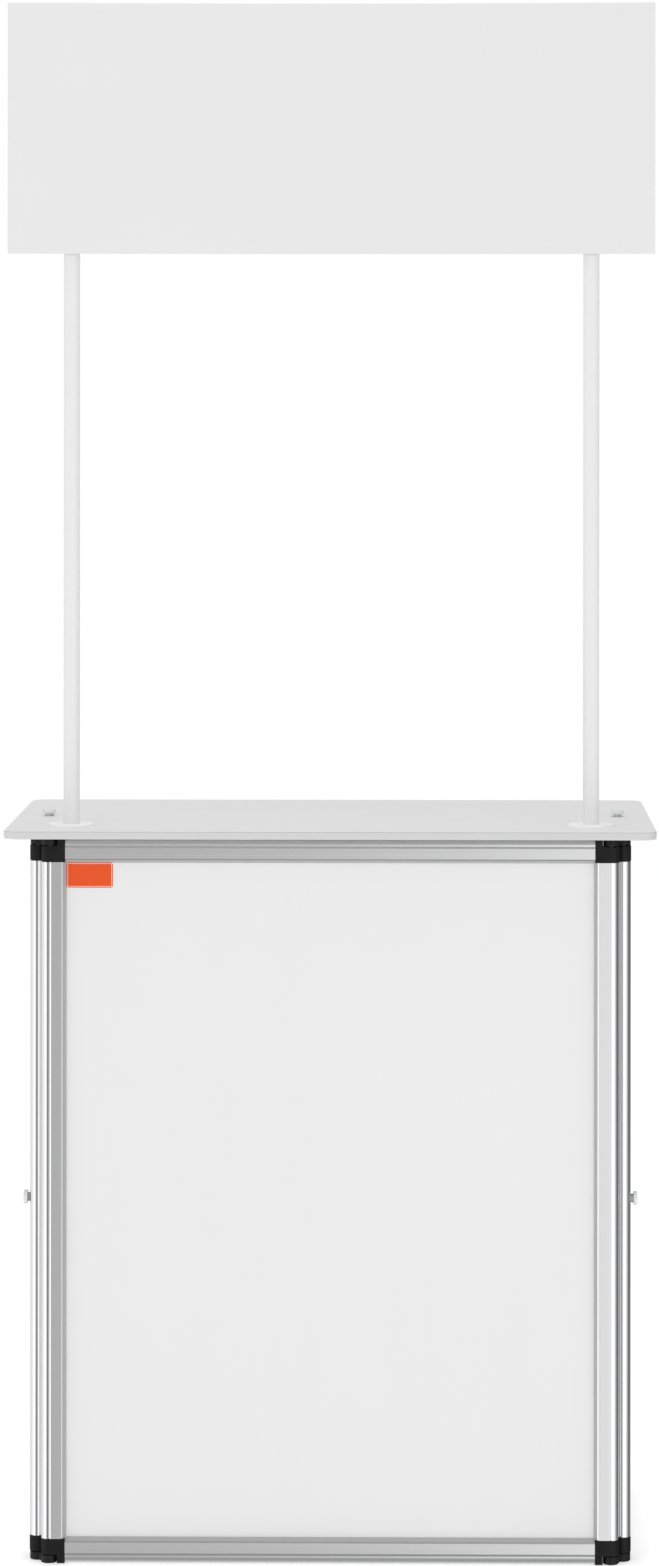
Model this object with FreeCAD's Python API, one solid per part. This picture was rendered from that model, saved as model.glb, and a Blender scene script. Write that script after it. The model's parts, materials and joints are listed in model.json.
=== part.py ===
import FreeCAD, Part
import math
import os

from FreeCAD import Vector

os.makedirs("parts", exist_ok=True)

# Folding display counter with a header board on two poles.
# Millimetres. +Z is up, +Y is the back, and the origin is on the floor under the middle of the tabletop.

# Tabletop
top_width = 800.0
top_depth = 400.0
top_thickness = 10.0
top_corner_radius = 18.0
top_edge_radius = 1.5
counter_height = 900.0
top_overhang_front = 20.0
top_overhang_side = 45.0
top_overhang_rear = 20.0

# Aluminium extrusion that every frame is made of
profile_width = 30.0
profile_thickness = 20.0
groove_width = 2.8
groove_depth = 1.2
groove_floor = 0.4
bevel_width = 4.3
bevel_step = 0.8
shoulder_width = 1.3
shoulder_drop = 0.8
lip_thickness = 2.8
slot_depth = 8.0
chamber_start = 7.5
chamber_wall = 1.5
chamber_thickness = 14.8

# Infill panels and the label on the front one
panel_thickness = 3.0
panel_clearance = 0.1
panel_play = 0.5
label_width = 57.0
label_height = 31.0
label_thickness = 0.3
label_margin = 1.0

# Corner blocks, with legs inside the extrusions
corner_size = 30.0
corner_edge = 0.8
leg_length = 35.0
leg_clearance = 0.15

# Double-pivot links between the front frame and the side frames
barrel_gap = 1.0
link_angle = 135.0
link_thickness = 9.3
link_gap = 1.2
link_inset = 0.2
link_waist = 11.0
link_edge = 0.6
link_step_clearance = 0.6
pin_radius = 3.0
pin_clearance = 0.08
pin_reach = 13.0
pin_end_gap = 0.8
pin_head_radius = 4.5
pin_head_height = 1.5

# Thumb knobs: a round plastic head on a steel neck and stud
knob_radius = 8.5
knob_height = 5.0
knob_edge = 1.2
neck_radius = 5.5
neck_height = 3.5
stud_radius = 3.0
stud_clearance = 0.1
stud_in_knob = 3.0
top_knob_setback = 190.0
top_stud_reach = 9.0
rail_slot_clearance = 0.6
rail_slot_spare = 1.2

# Threaded inserts for the knobs in the tabletop
insert_radius = 5.5
insert_length = 8.0
insert_rim_radius = 7.5
insert_rim_height = 1.0
insert_clearance = 0.05

# Side knobs, shelf brackets and shelf
side_knob_inset = 17.0
side_knob_height = 444.0
side_stud_spare = 2.0
bracket_thickness = 3.0
bracket_length = 20.0
bracket_drop = 14.0
bracket_arm = 28.0
shelf_thickness = 9.0
shelf_side_gap = 2.0
shelf_front_gap = 3.0
shelf_rear_gap = 10.0
shelf_corner_radius = 3.0

# Poles and the flanges that they stand on
pole_radius = 10.0
pole_wall = 1.2
pole_length = 862.0
pole_inset = 78.0
pole_setback = 79.0
flange_radius = 28.5
flange_thickness = 2.0
flange_edge = 0.8
spigot_height = 60.0
spigot_clearance = 0.1
spigot_chamfer = 1.5
cap_thickness = 2.0
cap_plug_length = 10.0
cap_edge = 0.8

# Bolts that hold the flanges from below
bolt_radius = 4.0
bolt_clearance = 0.05
bolt_hole_clearance = 0.3
bolt_grip = 20.0
bolt_spare = 4.0
bolt_head_width = 13.0
bolt_head_height = 5.3

# Header board and its clips
header_height = 310.0
header_gap = 708.0
header_overhang = 78.0
header_thickness = 3.0
header_bow = 14.0
header_clearance = 3.0
clip_height = 18.0
clip_wall = 2.6
clip_clearance = 0.1
clip_opening = 14.0
clip_foot_width = 30.0
clip_foot_thickness = 3.0
clip_low = 28.0
clip_high = 126.0

# Places that follow from the sizes above
barrel = profile_thickness / 2
link_centres = profile_thickness + barrel_gap
link_radius = barrel - link_inset
frame_height = counter_height - top_thickness
front_width = top_width - 2 * top_overhang_side
front_y = -top_depth / 2 + top_overhang_front + barrel
slot_half = panel_thickness / 2 + panel_clearance
chamber_end = profile_width - slot_depth - chamber_wall
front_pivot = Vector(-front_width / 2 + barrel, front_y, 0)
link_turn = math.radians(link_angle)
link_way = Vector(math.cos(link_turn), math.sin(link_turn), 0)
side_pivot = front_pivot + link_way * link_centres
side_start = side_pivot.y - barrel
side_depth = top_depth / 2 - top_overhang_rear - side_start
side_inner_x = side_pivot.x + barrel
side_outer_x = side_pivot.x - barrel
recess_depth = link_thickness + link_gap
pole_x = -top_width / 2 + pole_inset
pole_y = -top_depth / 2 + pole_setback
pole_foot = counter_height + flange_thickness
header_low = counter_height + header_gap
header_half = -pole_x + header_overhang
shelf_low = side_knob_height + bracket_drop
up = Vector(0, 0, 1)


def box(low, high):
    """A box from its lowest to its highest corner."""
    size = high - low
    return Part.makeBox(size.x, size.y, size.z, low)


def rod(radius, start, way, length):
    """A round bar from a point, along a direction."""
    return Part.makeCylinder(radius, length, start, way)


def edges_at(solid, height):
    """The edges that lie wholly at one height."""
    found = []
    for edge in solid.Edges:
        if abs(edge.BoundBox.ZMin - height) < 1e-4 and abs(edge.BoundBox.ZMax - height) < 1e-4:
            found.append(edge)
    return found


def mirrored(shape):
    """The same piece on the other side of the counter."""
    return shape.mirror(Vector(0, 0, 0), Vector(1, 0, 0))


def upside_down(shape):
    """The same piece at the other end of the frame's height."""
    return shape.mirror(Vector(0, 0, frame_height / 2), up)


def polyline(points):
    """Straight edges through a list of points."""
    return [Part.makeLine(a, b) for a, b in zip(points, points[1:])]


def barrel_arc():
    """The rounded outer edge of the extrusion and of the corner blocks, at half the thickness."""
    ends = Vector(barrel, barrel, 0), Vector(barrel, -barrel, 0)
    return Part.Arc(ends[0], Vector(0, 0, 0), ends[1]).toShape()


def profile_side(side):
    """One face of the extrusion's section: groove beside the barrel, flat, shoulder, then bevelled lip."""
    flat_end = profile_width - bevel_width
    shoulder = barrel - bevel_step
    return [
        Vector(barrel, side * barrel, 0),
        Vector(barrel, side * (barrel - groove_depth), 0),
        Vector(barrel + groove_floor, side * (barrel - groove_depth), 0),
        Vector(barrel + groove_width, side * barrel, 0),
        Vector(flat_end, side * barrel, 0),
        Vector(flat_end, side * shoulder, 0),
        Vector(flat_end + shoulder_width, side * (shoulder - shoulder_drop), 0),
        Vector(profile_width, side * (slot_half + lip_thickness), 0),
        Vector(profile_width, side * slot_half, 0),
        Vector(profile_width - slot_depth, side * slot_half, 0),
    ]


def extrusion(length):
    """A length of the frame extrusion along +Z: outer edge at x = 0, panel slot at x = profile_width."""
    front = profile_side(-1)
    back = profile_side(1)
    edges = [barrel_arc()] + polyline(front + back[::-1])
    bar = Part.Face(Part.Wire(edges)).extrude(up * length)
    chamber_half = chamber_thickness / 2
    chamber = box(Vector(chamber_start, -chamber_half, 0), Vector(chamber_end, chamber_half, length))
    return bar.cut(chamber)


def laid_down(bar):
    """An upright bar turned to lie along +X with its outer edge at the floor."""
    lying = bar.copy()
    turn = FreeCAD.Rotation(up, Vector(0, -1, 0), Vector(1, 0, 0))
    lying.Placement = FreeCAD.Placement(Vector(0, 0, 0), turn)
    return lying


def corner_block(linked):
    """A corner block at the lower left of a frame. A linked one has a step for the link and a pin hole."""
    far = corner_size
    front = [Vector(barrel, -barrel, 0), Vector(far, -barrel, 0)]
    back = [Vector(far, barrel, 0), Vector(barrel, barrel, 0)]
    block = Part.Face(Part.Wire([barrel_arc()] + polyline(front + back))).extrude(up * far)
    block = block.makeChamfer(corner_edge, edges_at(block, 0))
    low = chamber_start + leg_clearance
    high = chamber_end - leg_clearance
    half = chamber_thickness / 2 - leg_clearance
    block = block.fuse(box(Vector(low, -half, far), Vector(high, half, far + leg_length)))
    block = block.fuse(box(Vector(far, -half, low), Vector(far + leg_length, half, high)))
    start = profile_width - slot_depth
    block = block.cut(box(Vector(start, -slot_half, start), Vector(far, slot_half, far)))
    if linked:
        step_end = barrel + link_radius + link_step_clearance
        block = block.cut(box(Vector(0, -barrel, 0), Vector(step_end, barrel, recess_depth)))
        hole = pin_radius + pin_clearance
        block = block.cut(rod(hole, Vector(barrel, 0, recess_depth), up, pin_reach + pin_end_gap))
    return block


def frame_pieces(width, linked_left, linked_right):
    """The pieces of one frame, standing in the XZ plane with its lower left corner at the origin."""
    stile = extrusion(frame_height - 2 * corner_size)
    stile.translate(up * corner_size)
    rail = laid_down(extrusion(width - 2 * corner_size))
    rail.translate(Vector(corner_size, 0, 0))
    middle = Vector(width / 2, 0, 0)
    across = Vector(1, 0, 0)
    left = corner_block(linked_left)
    right = corner_block(linked_right).mirror(middle, across)
    seat = profile_width - slot_depth
    low = Vector(seat + panel_play, -panel_thickness / 2, seat)
    high = Vector(width - seat - panel_play, panel_thickness / 2, frame_height - seat - panel_play)
    return {
        "bottom_rail": rail,
        "top_rail": upside_down(rail),
        "stile_near": stile,
        "stile_far": stile.mirror(middle, across),
        "panel": box(low, high),
        "bottom_near": left,
        "bottom_far": right,
        "top_near": upside_down(left),
        "top_far": upside_down(right),
    }


def front_frame():
    """The front frame, with links at both sides."""
    names = {
        "bottom_rail": "front_bottom_rail",
        "top_rail": "front_top_rail",
        "stile_near": "front_left_stile",
        "stile_far": "front_right_stile",
        "panel": "front_panel",
        "bottom_near": "front_bottom_left_corner",
        "bottom_far": "front_bottom_right_corner",
        "top_near": "front_top_left_corner",
        "top_far": "front_top_right_corner",
    }
    made = {}
    for key, shape in frame_pieces(front_width, True, True).items():
        shape.translate(Vector(-front_width / 2, front_y, 0))
        made[names[key]] = shape
    return made


def side_frame():
    """The left side frame, linked at its front end, with knob holes and a slot for the tabletop's stud."""
    names = {
        "bottom_rail": "bottom_rail",
        "top_rail": "top_rail",
        "stile_near": "front_stile",
        "stile_far": "rear_stile",
        "panel": "panel",
        "bottom_near": "bottom_front_corner",
        "bottom_far": "bottom_rear_corner",
        "top_near": "top_front_corner",
        "top_far": "top_rear_corner",
    }
    made = {}
    for key, shape in frame_pieces(side_depth, True, False).items():
        shape.rotate(Vector(0, 0, 0), up, 90)
        shape.translate(Vector(side_pivot.x, side_start, 0))
        made[names[key]] = shape
    hole = stud_radius + stud_clearance
    for name, y in zip(("front_stile", "rear_stile"), side_knob_places()):
        start = Vector(side_outer_x, y, side_knob_height)
        made[name] = made[name].cut(rod(hole, start, Vector(1, 0, 0), profile_thickness))
    made["top_rail"] = made["top_rail"].cut(stud_slot())
    return made


def side_knob_places():
    """Where the side knobs are, along the depth: near the front and the rear end of the side frame."""
    return side_start + side_knob_inset, side_start + side_depth - side_knob_inset


def top_knob_place():
    """The axis of the left tabletop knob, over the middle of the side frame's top rail."""
    return Vector(side_pivot.x, -top_depth / 2 + top_knob_setback, 0)


def stud_slot():
    """The slot in the side frame's top rail, open to the inside, so that the frame swings off the stud."""
    reach = top_stud_reach + rail_slot_spare
    radius = stud_radius + rail_slot_clearance
    centre = top_knob_place() + up * (frame_height - reach)
    low = centre - Vector(0, radius, 0)
    high = centre + Vector(barrel, radius, reach)
    return rod(radius, centre, up, reach).fuse(box(low, high))


def waisted_plate(start, end, radius, waist, height):
    """A flat plate with two round ends and a narrower straight waist between them."""
    way = end - start
    waist_end = Vector(way.Length, waist / 2, height)
    bridge = box(Vector(0, -waist / 2, 0), waist_end)
    turn = FreeCAD.Rotation(Vector(1, 0, 0), way)
    bridge.Placement = FreeCAD.Placement(start, turn)
    plate = bridge.fuse([rod(radius, start, up, height), rod(radius, end, up, height)])
    return plate.removeSplitter()


def bottom_link():
    """The lower left link, flush with the floor, with a counterbored hole for each pin."""
    plate = waisted_plate(front_pivot, side_pivot, link_radius, link_waist, link_thickness)
    plate = plate.makeChamfer(link_edge, edges_at(plate, 0))
    for pivot in (front_pivot, side_pivot):
        plate = plate.cut(rod(pin_radius + pin_clearance, pivot, up, link_thickness))
        plate = plate.cut(rod(pin_head_radius + pin_clearance, pivot, up, pin_head_height))
    return plate


def bottom_pins():
    """The two pins of the lower left link, up into the corner blocks."""
    pins = []
    for pivot in (front_pivot, side_pivot):
        shank = rod(pin_radius, pivot, up, recess_depth + pin_reach)
        pins.append(shank.fuse(rod(pin_head_radius, pivot, up, pin_head_height)))
    return pins


def knob_head(seat, way):
    """A thumb knob's plastic head, whose foot is on the neck, with a blind hole for the stud."""
    foot = seat + way * neck_height
    head = rod(knob_radius, foot, way, knob_height)
    rims = [edge for edge in head.Edges if isinstance(edge.Curve, Part.Circle)]
    head = head.makeFillet(knob_edge, rims)
    return head.cut(rod(stud_radius, foot, way, stud_in_knob))


def knob_stud(seat, way, reach):
    """A thumb knob's neck and stud, which goes down below the seat by its reach."""
    length = reach + neck_height + stud_in_knob
    return rod(stud_radius, seat - way * reach, way, length).fuse(rod(neck_radius, seat, way, neck_height))


def top_knob():
    """The left tabletop knob: head, and stud down into the side frame's top rail."""
    seat = top_knob_place() + up * counter_height
    return knob_head(seat, up), knob_stud(seat, up, top_thickness + top_stud_reach)


def side_knobs():
    """The knobs of the left side frame, whose studs go through the stiles and the shelf brackets."""
    out = Vector(-1, 0, 0)
    reach = profile_thickness + bracket_thickness + side_stud_spare
    seats = [Vector(side_outer_x, y, side_knob_height) for y in side_knob_places()]
    heads = [knob_head(seat, out) for seat in seats]
    studs = [knob_stud(seat, out, reach) for seat in seats]
    return Part.makeCompound(heads), Part.makeCompound(studs)


def shelf_brackets():
    """The angle brackets inside the left side frame. The shelf lies on their arms."""
    brackets = []
    for y in side_knob_places():
        near = y - bracket_length / 2
        far = y + bracket_length / 2
        foot = Vector(side_inner_x, near, side_knob_height - bracket_drop)
        leg = box(foot, Vector(side_inner_x + bracket_thickness, far, shelf_low))
        inner = Vector(side_inner_x, near, shelf_low - bracket_thickness)
        arm = box(inner, Vector(side_inner_x + bracket_arm, far, shelf_low))
        start = Vector(side_inner_x, y, side_knob_height)
        hole = rod(stud_radius + stud_clearance, start, Vector(1, 0, 0), bracket_thickness)
        brackets.append(leg.fuse(arm).removeSplitter().cut(hole))
    return Part.makeCompound(brackets)


def shelf():
    """The loose shelf inside, between the side frames."""
    half = -side_inner_x - shelf_side_gap
    low = Vector(-half, front_y + barrel + shelf_front_gap, shelf_low)
    high = Vector(half, side_start + side_depth - shelf_rear_gap, shelf_low + shelf_thickness)
    board = box(low, high)
    upright = [edge for edge in board.Edges if edge.BoundBox.ZLength > shelf_thickness / 2]
    return board.makeFillet(shelf_corner_radius, upright)


def insert_shape(clearance):
    """A threaded insert's outside, set into the tabletop's underside at the left knob."""
    foot = top_knob_place() + up * frame_height
    body = rod(insert_radius + clearance, foot, up, insert_length)
    return body.fuse(rod(insert_rim_radius + clearance, foot, up, insert_rim_height))


def tabletop_insert():
    """The left threaded insert. Its rim is flush with the tabletop's underside."""
    foot = top_knob_place() + up * frame_height
    return insert_shape(0).cut(rod(stud_radius + stud_clearance, foot, up, insert_length))


def tabletop():
    """The tabletop, with rounded corners and holes for the inserts, the studs and the flange bolts."""
    low = Vector(-top_width / 2, -top_depth / 2, frame_height)
    board = box(low, Vector(top_width / 2, top_depth / 2, counter_height))
    upright = [edge for edge in board.Edges if edge.BoundBox.ZLength > top_thickness / 2]
    board = board.makeFillet(top_corner_radius, upright)
    rims = edges_at(board, frame_height) + edges_at(board, counter_height)
    board = board.makeFillet(top_edge_radius, rims)
    knob_foot = top_knob_place() + up * frame_height
    bolt_foot = Vector(pole_x, pole_y, frame_height)
    holes = insert_shape(insert_clearance)
    holes = holes.fuse(rod(stud_radius + stud_clearance, knob_foot, up, top_thickness))
    holes = holes.fuse(rod(bolt_radius + bolt_hole_clearance, bolt_foot, up, top_thickness))
    return board.cut(holes).cut(mirrored(holes))


def pole_flange():
    """The left flange: a round foot plate with a spigot inside the pole, tapped for its bolt."""
    foot = Vector(pole_x, pole_y, counter_height)
    plate = rod(flange_radius, foot, up, flange_thickness)
    plate = plate.makeFillet(flange_edge, edges_at(plate, pole_foot))
    spigot = rod(pole_radius - pole_wall - spigot_clearance, foot, up, flange_thickness + spigot_height)
    spigot = spigot.makeChamfer(spigot_chamfer, edges_at(spigot, pole_foot + spigot_height))
    return plate.fuse(spigot).cut(rod(bolt_radius + bolt_clearance, foot, up, bolt_grip + bolt_spare))


def flange_bolt():
    """The hexagon bolt that holds the left flange from under the tabletop."""
    seat = Vector(pole_x, pole_y, frame_height)
    corner = bolt_head_width / math.sqrt(3)
    turns = [math.radians(60 * step) for step in range(7)]
    ring = [seat + Vector(corner * math.cos(turn), corner * math.sin(turn), 0) for turn in turns]
    head = Part.Face(Part.makePolygon(ring)).extrude(up * -bolt_head_height)
    return head.fuse(rod(bolt_radius, seat, up, top_thickness + bolt_grip))


def pole():
    """The left pole, a round tube that stands on the flange."""
    foot = Vector(pole_x, pole_y, pole_foot)
    return rod(pole_radius, foot, up, pole_length).cut(rod(pole_radius - pole_wall, foot, up, pole_length))


def pole_cap():
    """The plug in the upper end of the left pole."""
    seat = Vector(pole_x, pole_y, pole_foot + pole_length)
    cap = rod(pole_radius, seat, up, cap_thickness)
    cap = cap.makeFillet(cap_edge, edges_at(cap, seat.z + cap_thickness))
    return cap.fuse(rod(pole_radius - pole_wall - spigot_clearance, seat, up * -1, cap_plug_length))


def header_curve():
    """Radius of the board's back face, and the place in front of the counter that it is curved about."""
    radius = (header_half**2 + header_bow**2) / (2 * header_bow) + header_thickness
    back_at_pole = pole_y - pole_radius - header_clearance
    return radius, Vector(0, back_at_pole - math.sqrt(radius**2 - pole_x**2), header_low)


def header_sheet():
    """The header board: a thin sheet, a little bowed, so that its middle is furthest back."""
    back, centre = header_curve()
    ring = rod(back, centre, up, header_height).cut(rod(back - header_thickness, centre, up, header_height))
    low = Vector(-header_half, centre.y, header_low)
    return ring.common(box(low, Vector(header_half, centre.y + 2 * back, header_low + header_height)))


def header_clip(height):
    """A clip glued to the board's back. It grips the left pole and is open to the back."""
    back, centre = header_curve()
    middle = Vector(pole_x, pole_y, header_low + height - clip_height / 2)
    foot_y = pole_y - pole_radius - header_clearance
    foot_low = Vector(pole_x - clip_foot_width / 2, foot_y - clip_foot_thickness, middle.z)
    foot_size = Vector(clip_foot_width, 2 * clip_foot_thickness, clip_height)
    clip = rod(pole_radius + clip_wall, middle, up, clip_height).fuse(box(foot_low, foot_low + foot_size))
    clip = clip.cut(rod(pole_radius + clip_clearance, middle, up, clip_height))
    mouth_low = middle - Vector(clip_opening / 2, 0, 0)
    mouth_high = middle + Vector(clip_opening / 2, 2 * pole_radius, clip_height)
    clip = clip.cut(box(mouth_low, mouth_high))
    return clip.cut(rod(back, Vector(centre.x, centre.y, middle.z), up, clip_height))


def panel_label():
    """A plain label on the front panel, in its upper left corner."""
    x = -front_width / 2 + profile_width + label_margin
    y = front_y - panel_thickness / 2
    z = frame_height - profile_width - label_margin
    return box(Vector(x, y - label_thickness, z - label_height), Vector(x + label_width, y, z))


def left_side_pieces():
    """Every piece on the left that has a mirrored twin on the right, under its name without the side."""
    made = side_frame()
    made["bottom_link"] = bottom_link()
    made["top_link"] = upside_down(bottom_link())
    pins = bottom_pins()
    made["link_pins"] = Part.makeCompound(pins + [upside_down(pin) for pin in pins])
    made["top_knob"], made["top_knob_stud"] = top_knob()
    made["side_knobs"], made["side_knob_studs"] = side_knobs()
    made["shelf_brackets"] = shelf_brackets()
    made["pole_flange"] = pole_flange()
    made["pole"] = pole()
    made["pole_cap"] = pole_cap()
    return made


def both(shape):
    """A piece and its mirrored twin in one group."""
    return Part.makeCompound([shape, mirrored(shape)])


pieces = front_frame()
for name, shape in left_side_pieces().items():
    pieces["left_" + name] = shape
    pieces["right_" + name] = mirrored(shape)
for name, height in (("lower", clip_low), ("upper", clip_high)):
    pieces["header_left_" + name + "_clip"] = header_clip(height)
    pieces["header_right_" + name + "_clip"] = mirrored(header_clip(height))
pieces["panel_label"] = panel_label()
pieces["shelf"] = shelf()
pieces["tabletop"] = tabletop()
pieces["tabletop_inserts"] = both(tabletop_insert())
pieces["flange_bolts"] = both(flange_bolt())
pieces["header_sheet"] = header_sheet()

for name, shape in pieces.items():
    shape.exportStep("parts/" + name + ".step")
    print(name, "solids", len(shape.Solids), "volume", round(shape.Volume), "valid", shape.isValid())
print(len(pieces), "pieces written")
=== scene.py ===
# %% [markdown]
# # Folding display counter with a header board
# The counter is a level tabletop on three aluminium frames with white panels, and a header board on two
# poles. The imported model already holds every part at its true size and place. This lesson dresses it:
# camera and light first, then one finish at a time, then the small pieces that need more shape.

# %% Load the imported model
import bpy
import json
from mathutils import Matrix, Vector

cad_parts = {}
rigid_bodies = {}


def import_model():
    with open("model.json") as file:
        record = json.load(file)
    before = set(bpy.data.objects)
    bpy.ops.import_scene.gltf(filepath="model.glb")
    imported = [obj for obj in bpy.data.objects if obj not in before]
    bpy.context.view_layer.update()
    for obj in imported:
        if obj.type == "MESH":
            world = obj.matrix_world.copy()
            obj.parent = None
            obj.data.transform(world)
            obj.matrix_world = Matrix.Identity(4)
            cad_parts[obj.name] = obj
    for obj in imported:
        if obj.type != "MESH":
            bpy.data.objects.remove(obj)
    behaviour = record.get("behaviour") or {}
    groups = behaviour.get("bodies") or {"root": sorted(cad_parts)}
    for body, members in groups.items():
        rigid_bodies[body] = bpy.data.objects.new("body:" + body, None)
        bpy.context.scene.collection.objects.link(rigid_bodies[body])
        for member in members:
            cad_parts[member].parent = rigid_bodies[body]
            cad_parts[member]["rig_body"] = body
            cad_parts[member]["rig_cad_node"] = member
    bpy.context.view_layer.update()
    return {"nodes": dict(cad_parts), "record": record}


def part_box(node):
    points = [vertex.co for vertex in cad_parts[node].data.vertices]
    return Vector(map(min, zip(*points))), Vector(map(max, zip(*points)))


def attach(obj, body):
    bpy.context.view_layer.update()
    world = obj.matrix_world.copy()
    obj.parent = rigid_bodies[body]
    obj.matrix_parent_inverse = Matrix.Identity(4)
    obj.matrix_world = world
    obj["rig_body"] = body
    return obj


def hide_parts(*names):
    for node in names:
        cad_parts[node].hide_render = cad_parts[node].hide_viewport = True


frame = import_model()

# %% Other modules and units
import json
import math

import bmesh
import bpy
from mathutils import Matrix, Vector

MM = 0.001

# %% [markdown]
# ## Camera
# A long lens far away keeps the frames' uprights parallel and the perspective calm. The camera stands at
# about shoulder height and looks level, and a lens shift, not a tilt, brings the whole counter into the
# picture: a tilted camera would make the uprights lean.

# %% Camera
CAMERA_PLACE = Vector((0.119, -5.255, 1.435))
CAMERA_TURN = 0.010
CAMERA_ROLL = 0.0007
LENS_MM = 95.2
LENS_SHIFT = (-0.0361, -0.2486)
camera_data = bpy.data.cameras.new("camera")
camera_data.lens = LENS_MM
camera_data.shift_x, camera_data.shift_y = LENS_SHIFT
camera = bpy.data.objects.new("camera", camera_data)
camera.location = CAMERA_PLACE
camera.rotation_euler = (math.pi / 2, -CAMERA_ROLL, CAMERA_TURN)
bpy.context.collection.objects.link(camera)
bpy.context.scene.camera = camera
print("camera", tuple(round(v, 3) for v in camera.location), "lens", camera_data.lens)

# %% [markdown]
# ## Small helpers
# Colours are written as the hex values that a paint chart gives, and Blender's shaders want linear light, so
# one function converts them. A second adds a node, sets its values and joins its inputs.

# %% Colour and node helpers
def linear(hex_colour):
    """A paint chart's hex colour as the linear colour that shaders use."""
    parts = [int(hex_colour[i:i + 2], 16) / 255 for i in (1, 3, 5)]
    return [p / 12.92 if p <= 0.04045 else ((p + 0.055) / 1.055) ** 2.4 for p in parts] + [1.0]


def add_node(tree, kind, settings=None, values=None, links=None):
    """Adds a node, sets its settings and input values, and links its inputs to other nodes' outputs."""
    node = tree.nodes.new(kind)
    for name, value in (settings or {}).items():
        setattr(node, name, value)
    for name, value in (values or {}).items():
        node.inputs[name].default_value = value
    for name, socket in (links or {}).items():
        tree.links.new(socket, node.inputs[name])
    return node


print("white as linear light:", linear("#FFFFFF"))

# %% [markdown]
# ## Light
# A white object before a white wall shows its shape only through what surrounds it. In front, where the
# flat metal faces look, the room is half dark, with a wide bright screen on each side: these draw the
# bright and dark lines along the rounded edges of the extrusions. Towards the ceiling and the ground it is
# a plain soft grey, and the back runs from bright on the left to dark on the right. A picture of a room
# could do this too, but ramps from left to right are easy to read and to change. Only reflections see this
# room: matt surfaces are lit by an even grey and by the lamps below, and the camera sees plain white.

# %% Surroundings from left to right
ROOM_ACROSS = (
    (0.00, 1.10), (0.08, 1.60), (0.20, 1.40), (0.27, 0.30), (0.36, 0.26), (0.44, 0.56), (0.49, 0.66),
    (0.51, 0.85), (0.55, 1.45), (0.80, 1.60), (0.93, 0.95), (0.97, 0.45), (1.00, 0.25),
)
world = bpy.data.worlds.new("studio")
bpy.context.scene.world = world
world.use_nodes = True
tree = world.node_tree
tree.nodes.clear()
way = add_node(tree, "ShaderNodeTexCoord")
parts = add_node(tree, "ShaderNodeSeparateXYZ", links={"Vector": way.outputs["Generated"]})
across = add_node(tree, "ShaderNodeMapRange", values={"From Min": -1.0}, links={"Value": parts.outputs["X"]})
front = add_node(tree, "ShaderNodeValToRGB", links={"Fac": across.outputs["Result"]})
ramp = front.color_ramp
while len(ramp.elements) < len(ROOM_ACROSS):
    ramp.elements.new(0.5)
for element, (place, level) in zip(ramp.elements, ROOM_ACROSS):
    element.position = place
    element.color = (level, level, level, 1.0)
print("steps in the surroundings:", len(ramp.elements))

# %% Ceiling, ground and back, and white to the camera
WHITE = (1.0, 1.0, 1.0, 1.0)
FAR_PARTS = (("Z", 0.30, 0.90, 0.44), ("Z", -0.35, -0.95, 0.42), ("Y", -0.15, 0.25, 0.0))
BACK_LEFT_TO_RIGHT = {"From Min": -1.0, "To Min": 1.1, "To Max": 0.15}
EVEN_LIGHT = 0.76
colour_mix = {"data_type": "RGBA"}
room = front.outputs["Color"]
for axis, start, end, level in FAR_PARTS:
    edge = {"From Min": start, "From Max": end}
    part = add_node(
        tree, "ShaderNodeMapRange", {"interpolation_type": "SMOOTHSTEP"}, edge, {"Value": parts.outputs[axis]}
    )
    plain = {7: (level, level, level, 1.0)}
    blend = add_node(tree, "ShaderNodeMix", colour_mix, plain, {0: part.outputs["Result"], 6: room})
    room = blend.outputs[2]
back = add_node(tree, "ShaderNodeMapRange", values=BACK_LEFT_TO_RIGHT, links={"Value": parts.outputs["X"]})
tree.links.new(back.outputs["Result"], blend.inputs[7])
ray = add_node(tree, "ShaderNodeLightPath")
even = {7: (EVEN_LIGHT, EVEN_LIGHT, EVEN_LIGHT, 1.0)}
lit = add_node(tree, "ShaderNodeMix", colour_mix, even, {0: ray.outputs["Is Diffuse Ray"], 6: room})
seen_parts = {0: ray.outputs["Is Camera Ray"], 6: lit.outputs[2]}
seen = add_node(tree, "ShaderNodeMix", colour_mix, {7: WHITE}, seen_parts)
background = add_node(tree, "ShaderNodeBackground", links={"Color": seen.outputs[2]})
add_node(tree, "ShaderNodeOutputWorld", links={"Surface": background.outputs["Background"]})
bpy.context.scene.view_settings.view_transform = "Standard"
print("world nodes:", len(tree.nodes))

# %% [markdown]
# The surroundings alone are even and a little flat. Three large soft lamps add direction: one in front and
# to the left, a weaker one to the right, and one overhead. They are hidden from reflections, so the metal
# still mirrors only the calm surroundings and shows no lamp outlines.

# %% Soft lamps
LAMPS = {
    "front_left_softbox": ((-1.9, -3.4, 1.9), 2.2, 15.0),
    "front_right_softbox": ((2.4, -3.0, 1.5), 2.2, 9.5),
    "overhead_softbox": ((0.0, 0.2, 3.6), 2.6, 20.0),
}
LAMP_AIM = Vector((0.0, 0.0, 0.95))
for name, (place, size, power) in LAMPS.items():
    lamp_data = bpy.data.lights.new(name, "AREA")
    lamp_data.size = size
    lamp_data.energy = power
    lamp = bpy.data.objects.new(name, lamp_data)
    lamp.location = place
    lamp.rotation_euler = (LAMP_AIM - Vector(place)).to_track_quat("-Z", "Y").to_euler()
    lamp.visible_glossy = False
    bpy.context.collection.objects.link(lamp)
print("lamps:", sorted(LAMPS))

# %% [markdown]
# ## Starting a finish
# Every finish below starts from one Principled shader. Typical roughness and index of refraction come from
# what the material is. The patterns then vary its colour, its roughness and its height a little, because no
# real surface is the same all over. Object coordinates are in metres in this model, so a pattern's size is
# given in millimetres and turned into a scale.

# %% Finish helpers
NOISE_RANGE = {"From Min": 0.3, "From Max": 0.7}


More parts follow.
